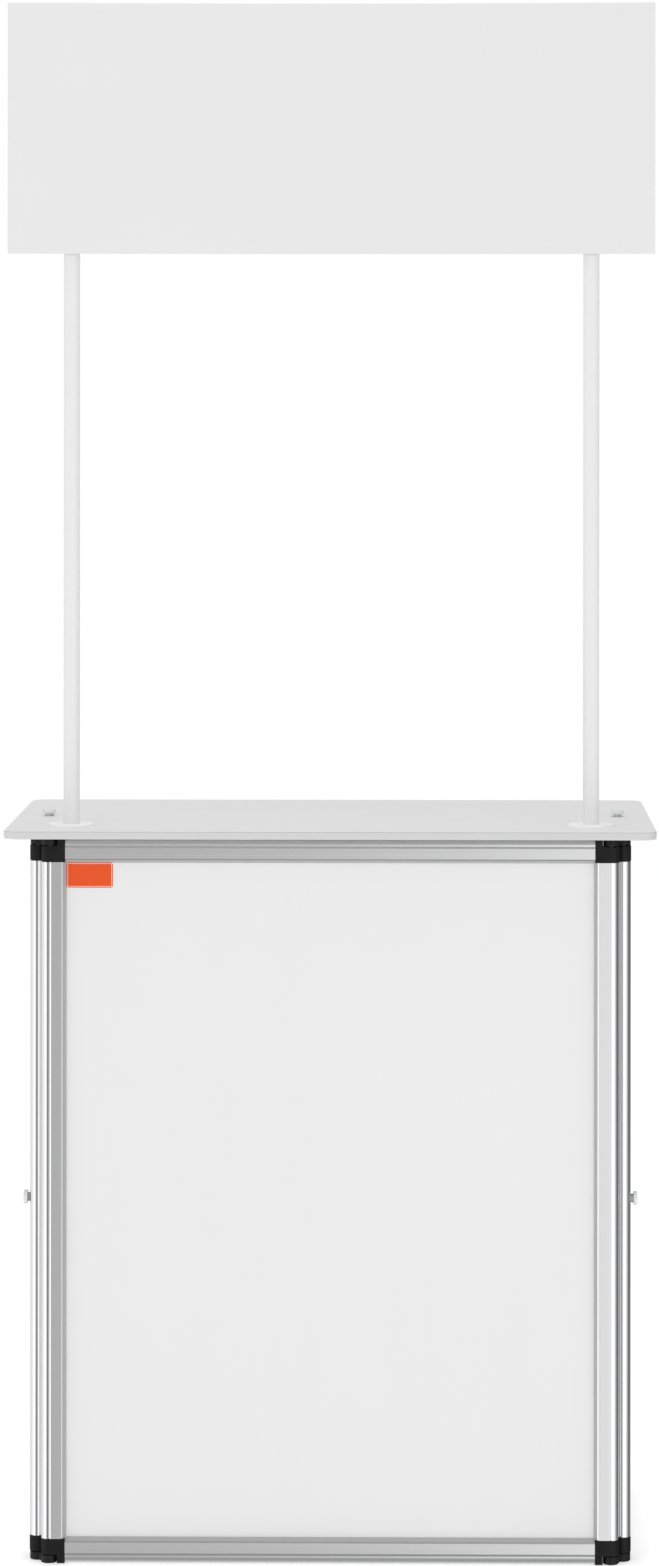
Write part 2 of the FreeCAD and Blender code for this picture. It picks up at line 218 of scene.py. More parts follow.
def new_finish(name, colour, roughness, **values):
    """A material with one Principled shader. Returns the material, its node tree and the shader."""
    material = bpy.data.materials.new(name)
    material.use_nodes = True
    nodes = material.node_tree
    nodes.nodes.clear()
    settings = {"Base Color": linear(colour), "Roughness": roughness}
    settings.update(values)
    shader = add_node(nodes, "ShaderNodeBsdfPrincipled", values=settings)
    add_node(nodes, "ShaderNodeOutputMaterial", links={"Surface": shader.outputs["BSDF"]})
    return material, nodes, shader


def grain(nodes, size_mm, detail=2.0):
    """Soft random grain from 0 to 1, whose spots are about size_mm long along X, Y and Z."""
    place = add_node(nodes, "ShaderNodeTexCoord")
    scale = {"Scale": [1 / (mm * MM) for mm in size_mm]}
    turned = add_node(nodes, "ShaderNodeMapping", values=scale, links={"Vector": place.outputs["Object"]})
    values = {"Scale": 1.0, "Detail": detail}
    return add_node(nodes, "ShaderNodeTexNoise", values=values, links={"Vector": turned.outputs["Vector"]})


def vary_colour(nodes, shader, pattern, dark, light):
    """Blends the base colour between two hex colours by a pattern."""
    ends = {6: linear(dark), 7: linear(light)}
    mix = add_node(nodes, "ShaderNodeMix", colour_mix, ends, {0: pattern.outputs["Fac"]})
    nodes.links.new(mix.outputs[2], shader.inputs["Base Color"])


def vary_roughness(nodes, shader, pattern, low, high):
    """Runs the roughness between two values by a pattern."""
    ends = {**NOISE_RANGE, "To Min": low, "To Max": high}
    spread = add_node(nodes, "ShaderNodeMapRange", values=ends, links={"Value": pattern.outputs["Fac"]})
    nodes.links.new(spread.outputs["Result"], shader.inputs["Roughness"])


def raise_surface(nodes, shader, pattern, height_mm, strength=1.0):
    """Makes a pattern a relief of the given height."""
    values = {"Strength": strength, "Distance": height_mm * MM}
    bump = add_node(nodes, "ShaderNodeBump", values=values, links={"Height": pattern.outputs["Fac"]})
    nodes.links.new(bump.outputs["Normal"], shader.inputs["Normal"])


print("finish helpers ready")

# %% [markdown]
# ## Floor
# A pale floor carries the contact shadows. It is white matt board with a touch of its own glow, so that it
# meets the white wall with no line between them. It is hidden from reflections: the polished edges mirror
# the calm grey of the surroundings' ground instead, which keeps the undersides of the rails readable.

# %% Floor
FLOOR_ACROSS = 14.0
FLOOR_DROP = 0.2 * MM
FLOOR_GLOW = 0.34
floor_finish, nodes, shader = new_finish("matt_white_floor", "#F4F4F4", 0.9)
vary_colour(nodes, shader, grain(nodes, (60, 60, 60)), "#F1F1F0", "#F6F6F6")
shader.inputs["Emission Color"].default_value = WHITE
shader.inputs["Emission Strength"].default_value = FLOOR_GLOW
bpy.ops.object.select_all(action="DESELECT")
bpy.ops.mesh.primitive_plane_add(size=FLOOR_ACROSS, location=(0, 0, -FLOOR_DROP))
floor = bpy.context.object
floor.name = "floor"
bpy.ops.object.transform_apply(location=True, rotation=True, scale=True)
floor.data.materials.append(floor_finish)
floor.visible_glossy = False
print("floor", FLOOR_ACROSS, "m across")

# %% [markdown]
# ## Aluminium
# The frames are satin anodised aluminium extrusions. The die leaves faint lines along each bar and the
# anodising makes them silky, so reflections are soft across the bar and streaky along it. The lines run
# with the bar, so bars along X, Y and Z each have their own copy of the finish. Real die lines are a few
# hundredths of a millimetre wide. They are drawn about a millimetre wide, as fine as can be seen.

# %% Satin anodised aluminium
DIE_LINE_MM = 1.1
ALONG_BAR_MM = 900.0


def anodised_aluminium(axis):
    """Satin anodised extruded aluminium with die lines along one axis: 0, 1 or 2 for X, Y or Z."""
    name = "satin_anodised_aluminium_" + "xyz"[axis]
    material, nodes, shader = new_finish(name, "#DBDBDC", 0.15, Metallic=1.0)
    line_size = [DIE_LINE_MM] * 3
    line_size[axis] = ALONG_BAR_MM
    lines = grain(nodes, line_size, 3.0)
    vary_colour(nodes, shader, lines, "#D8D8D9", "#DEDEDF")
    vary_roughness(nodes, shader, lines, 0.12, 0.18)
    raise_surface(nodes, shader, lines, 0.01, 0.03)
    return material


aluminium = [anodised_aluminium(axis) for axis in range(3)]
print([material.name for material in aluminium])

# %% [markdown]
# ## Zinc-plated steel
# Link pins, studs, inserts, bolts and shelf brackets are mild steel with bright zinc. Plating gives a cool
# grey metal with a soft cloudiness and fine pits, a little shinier than the anodised bars.

# %% Zinc-plated steel
zinc_steel, nodes, shader = new_finish("zinc_plated_steel", "#B9BCC0", 0.3, Metallic=1.0)
clouds = grain(nodes, (6.0, 6.0, 6.0), 4.0)
vary_colour(nodes, shader, clouds, "#AEB2B7", "#C6C8CB")
vary_roughness(nodes, shader, clouds, 0.24, 0.42)
raise_surface(nodes, shader, grain(nodes, (0.8, 0.8, 0.8)), 0.02, 0.4)
print(zinc_steel.name)

# %% [markdown]
# ## White plastics and boards
# Much of the counter is white, and each white is a different thing. The infill panels are extruded PVC
# sheet: smooth, with a very slight waviness that only shows in reflections. The header is a thinner,
# more matt polypropylene sheet. The poles are PVC tube with faint lines along them. The tabletop is a
# board with a hard, finely stippled melamine face and a slightly greyer band around its edge. Where the
# two meet, a fine dark glue line is painted, and its darkness also stands in for the shade of the rounded
# arris, so it is partly painted shade. Clips and pole flanges are moulded ABS, thumb knobs opal acrylic.

# %% Infill panels: extruded PVC sheet
pvc_sheet, nodes, shader = new_finish("extruded_pvc_sheet", "#E4E4E4", 0.38, IOR=1.53)
waves = grain(nodes, (70.0, 70.0, 240.0))
vary_colour(nodes, shader, waves, "#E3E3E3", "#E5E5E5")
vary_roughness(nodes, shader, grain(nodes, (9.0, 9.0, 9.0), 3.0), 0.34, 0.44)
raise_surface(nodes, shader, waves, 0.25, 0.25)
print(pvc_sheet.name)

# %% Header: satin polypropylene sheet
pp_sheet, nodes, shader = new_finish("satin_polypropylene_sheet", "#E0E0E0", 0.5, IOR=1.49)
vary_colour(nodes, shader, grain(nodes, (120.0, 120.0, 120.0)), "#DFDFDF", "#E1E1E1")
leather = grain(nodes, (1.4, 1.4, 1.4), 3.0)
vary_roughness(nodes, shader, leather, 0.46, 0.56)
raise_surface(nodes, shader, leather, 0.03, 0.35)
print(pp_sheet.name)

# %% Poles: PVC tube
pvc_tube, nodes, shader = new_finish("extruded_pvc_tube", "#E3E3E3", 0.5, IOR=1.53)
pole_lines = grain(nodes, (1.6, 1.6, 400.0), 3.0)
vary_colour(nodes, shader, pole_lines, "#E0E0E0", "#E5E5E5")
vary_roughness(nodes, shader, pole_lines, 0.46, 0.56)
raise_surface(nodes, shader, pole_lines, 0.02, 0.3)
print(pvc_tube.name)

# %% Tabletop: stippled melamine face with an edge band and a painted glue line and arris shade
MELAMINE_FACE = "#E1E1E1"
EDGE_BAND = "#CCCCCC"
# The thin dark zone just under the face is a glue line whose darkness is also painted shade of the rounded
# arris.
GLUE_LINE_AND_ARRIS_SHADE = "#B4B4B4"
EDGE_ZONES = ((0.0, EDGE_BAND), (0.878, GLUE_LINE_AND_ARRIS_SHADE), (0.952, MELAMINE_FACE))
melamine_top, nodes, shader = new_finish("stippled_melamine_board", MELAMINE_FACE, 0.42, IOR=1.5)
top_low, top_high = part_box("tabletop")
place = add_node(nodes, "ShaderNodeTexCoord")
parts = add_node(nodes, "ShaderNodeSeparateXYZ", links={"Vector": place.outputs["Object"]})
board = {"From Min": top_low.z, "From Max": top_high.z}
level = add_node(nodes, "ShaderNodeMapRange", values=board, links={"Value": parts.outputs["Z"]})
zones = add_node(nodes, "ShaderNodeValToRGB", links={"Fac": level.outputs["Result"]})
zones.color_ramp.interpolation = "CONSTANT"
zones.color_ramp.elements.new(0.5)
for element, (start, colour) in zip(zones.color_ramp.elements, EDGE_ZONES):
    element.position = start
    element.color = linear(colour)
cloud = grain(nodes, (45.0, 45.0, 45.0))
cloud_range = {"To Min": 0.98, "To Max": 1.02}
soft = add_node(nodes, "ShaderNodeMapRange", values=cloud_range, links={"Value": cloud.outputs["Fac"]})
tint_parts = {0: zones.outputs["Color"], "Scale": soft.outputs[0]}
tint = add_node(nodes, "ShaderNodeVectorMath", {"operation": "SCALE"}, links=tint_parts)
nodes.links.new(tint.outputs["Vector"], shader.inputs["Base Color"])
stipple = grain(nodes, (1.3, 1.3, 1.3), 2.0)
vary_roughness(nodes, shader, stipple, 0.38, 0.52)
raise_surface(nodes, shader, stipple, 0.06, 0.4)
print(melamine_top.name, "board", round((top_high.z - top_low.z) / MM, 1), "mm thick")

# %% Shelf: plain melamine board
melamine_shelf, nodes, shader = new_finish("plain_melamine_board", "#E9E9E7", 0.4, IOR=1.5)
vary_colour(nodes, shader, grain(nodes, (40.0, 40.0, 40.0)), "#E6E6E4", "#ECECEA")
vary_roughness(nodes, shader, grain(nodes, (2.0, 2.0, 2.0)), 0.36, 0.48)
print(melamine_shelf.name)

# %% Clips and pole flanges: moulded ABS
white_abs, nodes, shader = new_finish("moulded_white_abs", "#F1F1F0", 0.4, IOR=1.54)
spark = grain(nodes, (0.9, 0.9, 0.9))
vary_colour(nodes, shader, grain(nodes, (14.0, 14.0, 14.0)), "#EFEFEE", "#F4F4F3")
vary_roughness(nodes, shader, spark, 0.36, 0.48)
raise_surface(nodes, shader, spark, 0.03, 0.3)
print(white_abs.name)

# %% Thumb knobs: moulded opal acrylic
opal_acrylic, nodes, shader = new_finish("moulded_opal_acrylic", "#E2E3E3", 0.2, IOR=1.49)
flow = grain(nodes, (3.0, 3.0, 9.0), 3.0)
vary_colour(nodes, shader, flow, "#DEE0E0", "#E7E8E8")
vary_roughness(nodes, shader, flow, 0.16, 0.28)
print(opal_acrylic.name)

# %% [markdown]
# ## Black nylon
# Corner blocks and links are moulded glass-filled nylon. It is nearly black, and the glass fibres leave
# the skin slightly mottled and semi-matt, so that edges and ribs catch a soft grey light.

# %% Glass-filled nylon
NYLON_GLOSS = {"IOR": 1.53, "Specular IOR Level": 0.2}
black_nylon, nodes, shader = new_finish("moulded_glass_filled_nylon", "#161617", 0.5, **NYLON_GLOSS)
fibres = grain(nodes, (1.2, 1.2, 3.0), 4.0)
vary_colour(nodes, shader, fibres, "#121213", "#1B1B1C")
vary_roughness(nodes, shader, fibres, 0.42, 0.58)
raise_surface(nodes, shader, fibres, 0.05, 0.4)
print(black_nylon.name)

# %% [markdown]
# ## Label finishes
# A small self-adhesive vinyl label, printed a plain warm orange inside a thin white margin. A printed solid
# is never quite solid: fine dots of ink show through the gloss, and the film lies a little wavy.

# %% Printed vinyl
INK_DOT_MM = 0.7
VINYL_GLOSS = {"IOR": 1.5, "Specular IOR Level": 0.3}
printed_vinyl, nodes, shader = new_finish("printed_vinyl_film", "#E4521A", 0.35, **VINYL_GLOSS)
ink = grain(nodes, (INK_DOT_MM, INK_DOT_MM, INK_DOT_MM), 1.0)
vary_colour(nodes, shader, ink, "#E04810", "#E85A22")
raise_surface(nodes, shader, grain(nodes, (9.0, 9.0, 9.0)), 0.04, 0.4)
bare_vinyl, nodes, shader = new_finish("bare_white_vinyl_film", "#F0EFEC", 0.35, **VINYL_GLOSS)
vary_colour(nodes, shader, grain(nodes, (2.0, 2.0, 2.0)), "#ECEBE8", "#F3F2EF")
print(printed_vinyl.name, bare_vinyl.name)

# %% [markdown]
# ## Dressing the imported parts
# The record says which material slot each part has. One loop hands the finishes out. Aluminium bars take
# the copy of the finish whose lines run along them, which is along their longest side.

# %% Hand out the finishes
SLOT_FINISH = {
    "infill": pvc_sheet, "black_nylon": black_nylon, "label": printed_vinyl, "steel": zinc_steel,
    "knob": opal_acrylic, "pole": pvc_tube, "tabletop": melamine_top, "header": pp_sheet,
    "clip": white_abs, "shelf": melamine_shelf,
}


def finish_for(node, slot):
    """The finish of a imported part, by its slot and, for a bar, by the way it runs."""
    if node.endswith("_flange"):
        return white_abs
    if slot in SLOT_FINISH:
        return SLOT_FINISH[slot]
    low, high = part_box(node)
    size = list(high - low)
    return aluminium[size.index(max(size))]


for subpart in frame["record"]["subparts"]:
    mesh = frame["nodes"][subpart["node"]].data
    mesh.materials.clear()
    mesh.materials.append(finish_for(subpart["node"], subpart["material_slot"]))

# %% [markdown]
# ## Modelling by hand in code
# The small parts are modelled as one would by hand: a primitive at its size, edit mode, a few operators,
# then modifiers. Operators act on whatever is selected, so the helpers below clear the selection, start a
# clean piece, pick faces or points by where they are, round edges, copy, join and dress. A face counts as
# looking along a direction when its normal is within about 25 degrees of it.

# %% Modelling helpers
FACING = 0.9


def fresh_piece(name):
    """Names the primitive that was just added, as a finished start of a new piece."""
    piece = bpy.context.object
    piece.name = name
    bpy.ops.object.transform_apply(location=True, rotation=True, scale=True)
    return piece


def clear_selection():
    """Deselects every object, so that the next operator acts on the new piece alone."""
    bpy.ops.object.select_all(action="DESELECT")


def pick(piece, kind, wanted):
    """In edit mode, selects just the faces or points that wanted() accepts. Kind is FACE or VERT."""
    bpy.ops.mesh.select_mode(type=kind)
    bpy.ops.mesh.select_all(action="DESELECT")
    mesh = bmesh.from_edit_mesh(piece.data)
    for element in (mesh.faces if kind == "FACE" else mesh.verts):
        if wanted(element):
            element.select_set(True)
    mesh.select_flush_mode()
    bmesh.update_edit_mesh(piece.data)


def finish_edges(piece, width_mm, segments=2, angle=35.0):
    """Rounds the sharp edges and smooths the shading of what curves."""
    bevel = piece.modifiers.new("rounded_edges", "BEVEL")
    bevel.width = width_mm * MM
    bevel.segments = segments
    bevel.limit_method = "ANGLE"
    bevel.angle_limit = math.radians(angle)
    clear_selection()
    piece.select_set(True)
    bpy.context.view_layer.objects.active = piece
    bpy.ops.object.modifier_apply(modifier=bevel.name)
    bpy.ops.object.shade_smooth_by_angle(angle=math.radians(angle))


def placed_copy(master, name, matrix):
    """A copy with its own mesh, with its place and turn written into the mesh."""
    copy = master.copy()
    copy.data = master.data.copy()
    copy.name = name
    bpy.context.collection.objects.link(copy)
    copy.matrix_world = matrix
    clear_selection()
    copy.select_set(True)
    bpy.context.view_layer.objects.active = copy
    bpy.ops.object.transform_apply(location=True, rotation=True, scale=True)
    return copy


def joined(parts_list, name):
    """Joins several objects into the first one."""
    clear_selection()
    for part in parts_list:
        part.select_set(True)
    bpy.context.view_layer.objects.active = parts_list[0]
    bpy.ops.object.join()
    parts_list[0].name = name
    return parts_list[0]


def dress(piece, finish, body, slot, *nodes_replaced):
    piece.data.materials.clear()
    piece.data.materials.append(finish)
    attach(piece, body)
    if nodes_replaced:
        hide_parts(*nodes_replaced)


print("modelling helpers ready")

# %% [markdown]
# ## Thumb knobs
# Four opal thumb knobs clamp the side frames' fittings and two hold the tabletop. Each is a moulded head
# with a fluted grip on a knurled steel neck and a threaded stud. A fluted head could be cut with booleans,
# but pulling in every third pair of points of a many-sided cylinder gives the same scallops with far less
# to go wrong. The rings on its face are made by extruding and narrowing about the axis, because an inset
# would cross itself at the flutes. The head is modelled once, on the origin, and copied to each place.

# %% Knob head
KNOB_RADIUS = 8.4 * MM
KNOB_HEIGHT = 5.0 * MM
NECK_HEIGHT = 3.5 * MM
KNOB_SIDES = 48
FLUTE_SCALE = 0.925
TOP_STEPS = ((0.84, 0.0), (0.97, -0.35), (0.45, 0.25))
FOOT_STEPS = ((0.76, 0.0), (1.0, 0.6))
clear_selection()
bpy.ops.mesh.primitive_cylinder_add(
    vertices=KNOB_SIDES, radius=KNOB_RADIUS, depth=KNOB_HEIGHT, location=(0, 0, NECK_HEIGHT + KNOB_HEIGHT / 2)
)
knob_head = fresh_piece("knob_head_master")


def in_flute(point):
    """True for the points of every third side, which form the bottoms of the flutes."""
    turn = math.atan2(point.co.y, point.co.x) / (2 * math.pi) * KNOB_SIDES
    return round(turn) % 3 == 0


def step_in(scale, rise):
    """Extrudes the picked face, narrows it about the knob's axis and moves it up."""
    bpy.ops.mesh.extrude_region_move(TRANSFORM_OT_translate={"value": (0, 0, rise)})
    bpy.ops.transform.resize(value=(scale, scale, 1.0), center_override=(0, 0, 0))


bpy.ops.object.mode_set(mode="EDIT")
pick(knob_head, "VERT", in_flute)
bpy.ops.transform.resize(value=(FLUTE_SCALE, FLUTE_SCALE, 1.0), center_override=(0, 0, 0))
pick(knob_head, "FACE", lambda face: face.normal.z > FACING)
for scale, rise_mm in TOP_STEPS:
    step_in(scale, rise_mm * MM)
pick(knob_head, "FACE", lambda face: face.normal.z < -FACING)
for scale, rise_mm in FOOT_STEPS:
    step_in(scale, rise_mm * MM)
bpy.ops.object.mode_set(mode="OBJECT")
finish_edges(knob_head, 0.4, segments=2, angle=40.0)
print("knob head faces:", len(knob_head.data.polygons))

# %% [markdown]
# The neck is knurled so that fingers can grip it, and the stud below has a real metric thread. The thread is
# a small triangle wound round by a Screw modifier, over a plain core. A picture of a thread would look flat
# as soon as a knob is drawn out.

# %% Knurled neck and threaded stud
NECK_RADIUS = 5.5 * MM
NECK_SIDES = 44
KNURL_SCALE = 0.94
CORE_RADIUS = 2.55 * MM
CORE_SIDES = 32
RIDGE_RADIUS = 0.48 * MM
RIDGE_SUNK = 0.05 * MM
THREAD_PITCH = 1.0 * MM
THREAD_STEPS = 20
PLAIN_TURNS = 2


def threaded_stud(name, reach):
    """A knurled neck on the origin, and below it a stud that reaches down by its length."""
    clear_selection()
    bpy.ops.mesh.primitive_cylinder_add(
        vertices=NECK_SIDES, radius=NECK_RADIUS, depth=NECK_HEIGHT, location=(0, 0, NECK_HEIGHT / 2)
    )
    neck = fresh_piece(name + "_neck")
    bpy.ops.object.mode_set(mode="EDIT")
    turn = NECK_SIDES / (2 * math.pi)
    pick(neck, "VERT", lambda point: round(math.atan2(point.co.y, point.co.x) * turn) % 2 == 0)
    bpy.ops.transform.resize(value=(KNURL_SCALE, KNURL_SCALE, 1.0), center_override=(0, 0, 0))
    bpy.ops.object.mode_set(mode="OBJECT")
    finish_edges(neck, 0.12, segments=1, angle=20.0)
    clear_selection()
    bpy.ops.mesh.primitive_cylinder_add(
        vertices=CORE_SIDES,
        radius=CORE_RADIUS,
        depth=reach + NECK_HEIGHT,
        location=(0, 0, (NECK_HEIGHT - reach) / 2),
    )
    core = fresh_piece(name + "_core")
    finish_edges(core, 0.5)
    clear_selection()
    bpy.ops.mesh.primitive_circle_add(
        vertices=3,
        radius=RIDGE_RADIUS,
        fill_type="NGON",
        location=(CORE_RADIUS - RIDGE_SUNK, 0, -reach + THREAD_PITCH),
        rotation=(math.pi / 2, math.pi / 2, 0),
    )
    ridge = fresh_piece(name + "_ridge")
    bpy.ops.object.mode_set(mode="EDIT")
    bpy.ops.mesh.select_all(action="SELECT")
    bpy.ops.mesh.delete(type="ONLY_FACE")
    bpy.ops.object.mode_set(mode="OBJECT")
    screw = ridge.modifiers.new("thread", "SCREW")
    screw.axis = "Z"
    screw.screw_offset = THREAD_PITCH
    screw.iterations = int(reach / THREAD_PITCH) - PLAIN_TURNS
    screw.steps = THREAD_STEPS
    screw.render_steps = THREAD_STEPS
    bpy.ops.object.modifier_apply(modifier=screw.name)
    bpy.ops.object.mode_set(mode="EDIT")
    bpy.ops.mesh.select_all(action="SELECT")
    bpy.ops.mesh.fill_holes(sides=3)
    bpy.ops.mesh.normals_make_consistent(inside=False)
    bpy.ops.object.mode_set(mode="OBJECT")
    return joined([neck, core, ridge], name)


TOP_REACH = 19.0 * MM
SIDE_REACH = 25.0 * MM
top_stud = threaded_stud("top_stud_master", TOP_REACH)
side_stud = threaded_stud("side_stud_master", SIDE_REACH)
print("stud faces:", len(top_stud.data.polygons), len(side_stud.data.polygons))

# %% [markdown]
# The knobs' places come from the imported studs: a top knob points up from the tabletop's face, and a side
# knob points outward from the side frame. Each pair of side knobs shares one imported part, so both heads
# are joined into one piece, and both studs into another.

# %% Knobs on both sides
OUTWARD = {"left": -1, "right": 1}
QUARTER_TURN = math.pi / 2
for side, way_out in OUTWARD.items():
    low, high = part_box(side + "_top_knob_stud")
    seat = Vector(((low.x + high.x) / 2, (low.y + high.y) / 2, top_high.z))
    upright = Matrix.Translation(seat)
    head = placed_copy(knob_head, side + "_top_knob_head", upright)
    dress(head, opal_acrylic, side + "_top_knob", "knob", side + "_top_knob")
    stud = placed_copy(top_stud, side + "_top_knob_screw", upright)
    dress(stud, zinc_steel, side + "_top_knob", "steel", side + "_top_knob_stud")
    low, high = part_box(side + "_side_knob_studs")
    frame_low, frame_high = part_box(side + "_front_stile")
    face = frame_low.x if way_out < 0 else frame_high.x
    heads, studs = [], []
    for y in (low.y + NECK_RADIUS, high.y - NECK_RADIUS):
        on_stile = Matrix.Translation((face, y, (low.z + high.z) / 2))
        lying = on_stile @ Matrix.Rotation(QUARTER_TURN * way_out, 4, "Y")
        heads.append(placed_copy(knob_head, side + "_side_knob", lying))
        studs.append(placed_copy(side_stud, side + "_side_stud", lying))
    pair = joined(heads, side + "_side_knob_heads")
    dress(pair, opal_acrylic, side + "_side_knobs", "knob", side + "_side_knobs")
    pair = joined(studs, side + "_side_knob_screws")
    dress(pair, zinc_steel, side + "_side_knobs", "steel", side + "_side_knob_studs")
    print(side, "knobs at", [round(v / MM) for v in seat])
for master in (knob_head, top_stud, side_stud):
    bpy.data.objects.remove(master)

# %% [markdown]
# ## Moulded edges
# The corner blocks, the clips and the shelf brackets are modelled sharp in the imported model. Moulded and
# folded parts always have small rounded edges, and these catch the light as fine lines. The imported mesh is
# loose triangles, so a copy of it is merged and its flat triangles dissolved before a bevel is added.

# %% Rounded copies
MERGE_WITHIN = 0.002 * MM
FLAT_WITHIN_DEGREES = 0.5
FITTING_EDGE_MM = 0.5


def rounded_copy(node, name, width_mm):
    """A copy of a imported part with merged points, flat faces in one piece, and rounded edges."""
    copy = placed_copy(frame["nodes"][node], name, Matrix.Identity(4))
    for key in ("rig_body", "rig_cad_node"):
        if key in copy:
            del copy[key]
    copy.parent = None
    bpy.ops.object.mode_set(mode="EDIT")
    bpy.ops.mesh.select_all(action="SELECT")
    bpy.ops.mesh.remove_doubles(threshold=MERGE_WITHIN)
    bpy.ops.mesh.dissolve_limited(angle_limit=math.radians(FLAT_WITHIN_DEGREES))
    bpy.ops.object.mode_set(mode="OBJECT")
    finish_edges(copy, width_mm)
    return copy


for side in OUTWARD:
    for level in ("lower", "upper"):
        node = "header_" + side + "_" + level + "_clip"
        dress(rounded_copy(node, node + "_moulding", FITTING_EDGE_MM), white_abs, "header", "clip", node)
    node = side + "_shelf_brackets"
    brackets = rounded_copy(node, side + "_folded_brackets", FITTING_EDGE_MM)
    dress(brackets, zinc_steel, side + "_side", "steel", node)
print("clips and brackets rounded")

# %% [markdown]
# ## Corner blocks
# A moulded block closes every corner of the three frames. Its skin has fine upright ribs, about two
# millimetres apart, that hide scuffs. One rib is modelled at the size of the block and copied round the
# section: along the front face, round the barrel edge, and back along the rear face. The ribs stop above
# the step that a link turns in. A bump map would not show on the block's outline.

# %% One rib
RIB_PITCH = 2.0 * MM
RIB_WIDTH = 1.0 * MM
RIB_PROUD = 0.3 * MM
RIB_SUNK = 0.4 * MM
RIB_TAPER = (0.55, 1.0, 0.985)
BLOCK_SIZE = 30.0 * MM
RIB_MARGIN = 1.4 * MM
BARREL = 10.0 * MM
STEP_TOP = 10.5 * MM
STEP_END = 20.4 * MM


def rib_master(name, low, high):
    """An upright rib from one height to another, with its foot sunk into the block's skin."""
    clear_selection()
    bpy.ops.mesh.primitive_cube_add(size=1.0, location=(0, (RIB_SUNK - RIB_PROUD) / 2, (low + high) / 2))
    bpy.context.object.scale = (RIB_WIDTH, RIB_PROUD + RIB_SUNK, high - low)
    rib = fresh_piece(name)
    bpy.ops.object.mode_set(mode="EDIT")
    pick(rib, "FACE", lambda face: face.normal.y < -FACING)
    bpy.ops.transform.resize(value=RIB_TAPER)
    bpy.ops.object.mode_set(mode="OBJECT")
    return rib


long_rib = rib_master("long_rib", RIB_MARGIN, BLOCK_SIZE - RIB_MARGIN)
short_rib = rib_master("short_rib", STEP_TOP + RIB_MARGIN / 2, BLOCK_SIZE - RIB_MARGIN)
print("rib heights in mm:", round(long_rib.dimensions.z / MM, 1), round(short_rib.dimensions.z / MM, 1))

# %% Ribs round a block's section
def rib_places():
    """Place and turn of every rib, as (x, y, turn), round the section of a block standing at the origin."""
    flat_ribs = int((BLOCK_SIZE - RIB_MARGIN - BARREL) / RIB_PITCH)
    places = []
    for step in range(flat_ribs):
        x = BARREL + RIB_PITCH * (step + 0.5)
        places += [(x, -BARREL, 0.0), (x, BARREL, math.pi)]
    arc_ribs = round(math.pi * BARREL / RIB_PITCH)
    for step in range(arc_ribs):
        turn = -math.pi * (step + 0.5) / arc_ribs
        places.append((BARREL + BARREL * math.sin(turn), -BARREL * math.cos(turn), turn))
    return places


def ribs_on(corner, linked):
    """Every rib of one block, moved to its corner of a frame."""
    ribs = []
    for x, y, turn in rib_places():
        master = short_rib if linked and x < STEP_END + RIB_WIDTH else long_rib
        stand = Matrix.Translation((x, y, 0)) @ Matrix.Rotation(turn, 4, "Z")
        ribs.append(placed_copy(master, "rib", corner @ stand))
    return ribs


print("ribs on a block:", len(rib_places()))

# %% [markdown]
# Four turns put the same block at every corner of a frame: as it stands, turned half round for the far end,
# and both of these upside down for the top. The side frames stand a quarter turn round. The section is the
# same front and back, so turning does what mirroring would, and no face ends up inside out.

# %% Blocks on all three frames
frame_top = top_low.z
FRONT_BODY = "front_frame"
BLOCK_EDGE_MM = 0.4
corners = []
block_low, block_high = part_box("front_bottom_left_corner")
front_middle = Vector((0, (block_low.y + block_high.y) / 2, 0))
half_front = -block_low.x
for name, turn in (("left", 0.0), ("right", math.pi)):
    stand = Matrix.Translation(front_middle) @ Matrix.Rotation(turn, 4, "Z")
    stand = stand @ Matrix.Translation((-half_front, 0, 0))
    corners.append(("front_bottom_" + name + "_corner", stand, FRONT_BODY, True))
    corners.append(("front_top_" + name + "_corner", stand, FRONT_BODY, True))
for side in OUTWARD:
    near_low, near_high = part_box(side + "_bottom_front_corner")
    far_low, far_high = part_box(side + "_bottom_rear_corner")
    x = (far_low.x + far_high.x) / 2
    near = Matrix.Translation((x, near_low.y, 0)) @ Matrix.Rotation(QUARTER_TURN, 4, "Z")
    far = Matrix.Translation((x, far_high.y, 0)) @ Matrix.Rotation(-QUARTER_TURN, 4, "Z")
    body = side + "_side"
    for level in ("bottom", "top"):
        corners.append((side + "_" + level + "_front_corner", near, body, True))
        corners.append((side + "_" + level + "_rear_corner", far, body, False))
turn_over = Matrix.Translation((0, 0, frame_top)) @ Matrix.Rotation(math.pi, 4, "X")
for node, stand, body, linked in corners:
    corner = stand @ turn_over if "_top_" in node else stand
    block = rounded_copy(node, node + "_moulding", BLOCK_EDGE_MM)
    block = joined([block] + ribs_on(corner, linked), node + "_moulding")
    dress(block, black_nylon, body, "black_nylon", node)
for master in (long_rib, short_rib):
    bpy.data.objects.remove(master)
print("blocks with ribs:", len(corners))

# %% [markdown]
# ## Glazing beads and painted gap shade
# A grey plastic bead covers the sloping lips of each frame and seals the joint to the panel, on both faces,
# so that the panel can't rattle. It draws the calm grey line between metal and panel, and that grey is partly
# painted shade: it stands in for the shade in the gap between metal and panel and on the lips. A box is set
# over the opening, its outer face is inset and pushed in to make the slope, its inner face is inset to match,
# and bridging the two inner faces opens the middle and leaves a ring.

# %% Grey bead, partly painted gap shade
# The bead's grey is partly painted shade: it stands in for the shade in the gap between frame and panel and
# on the frame's lips.
grey_bead_and_gap_shade, nodes, shader = new_finish("satin_grey_pvc_bead_and_gap_shade", "#ACACAC", 0.45, IOR=1.53)
speckle = grain(nodes, (2.5, 2.5, 2.5), 3.0)
vary_colour(nodes, shader, speckle, "#A9A9A9", "#AFAFAF")
raise_surface(nodes, shader, speckle, 0.03, 0.3)
BEAD_OVER_LIP = 2.8 * MM
BEAD_ON_PANEL = 0.9 * MM
BEAD_TALL = 6.9 * MM
BEAD_SLOPE = 5.0 * MM


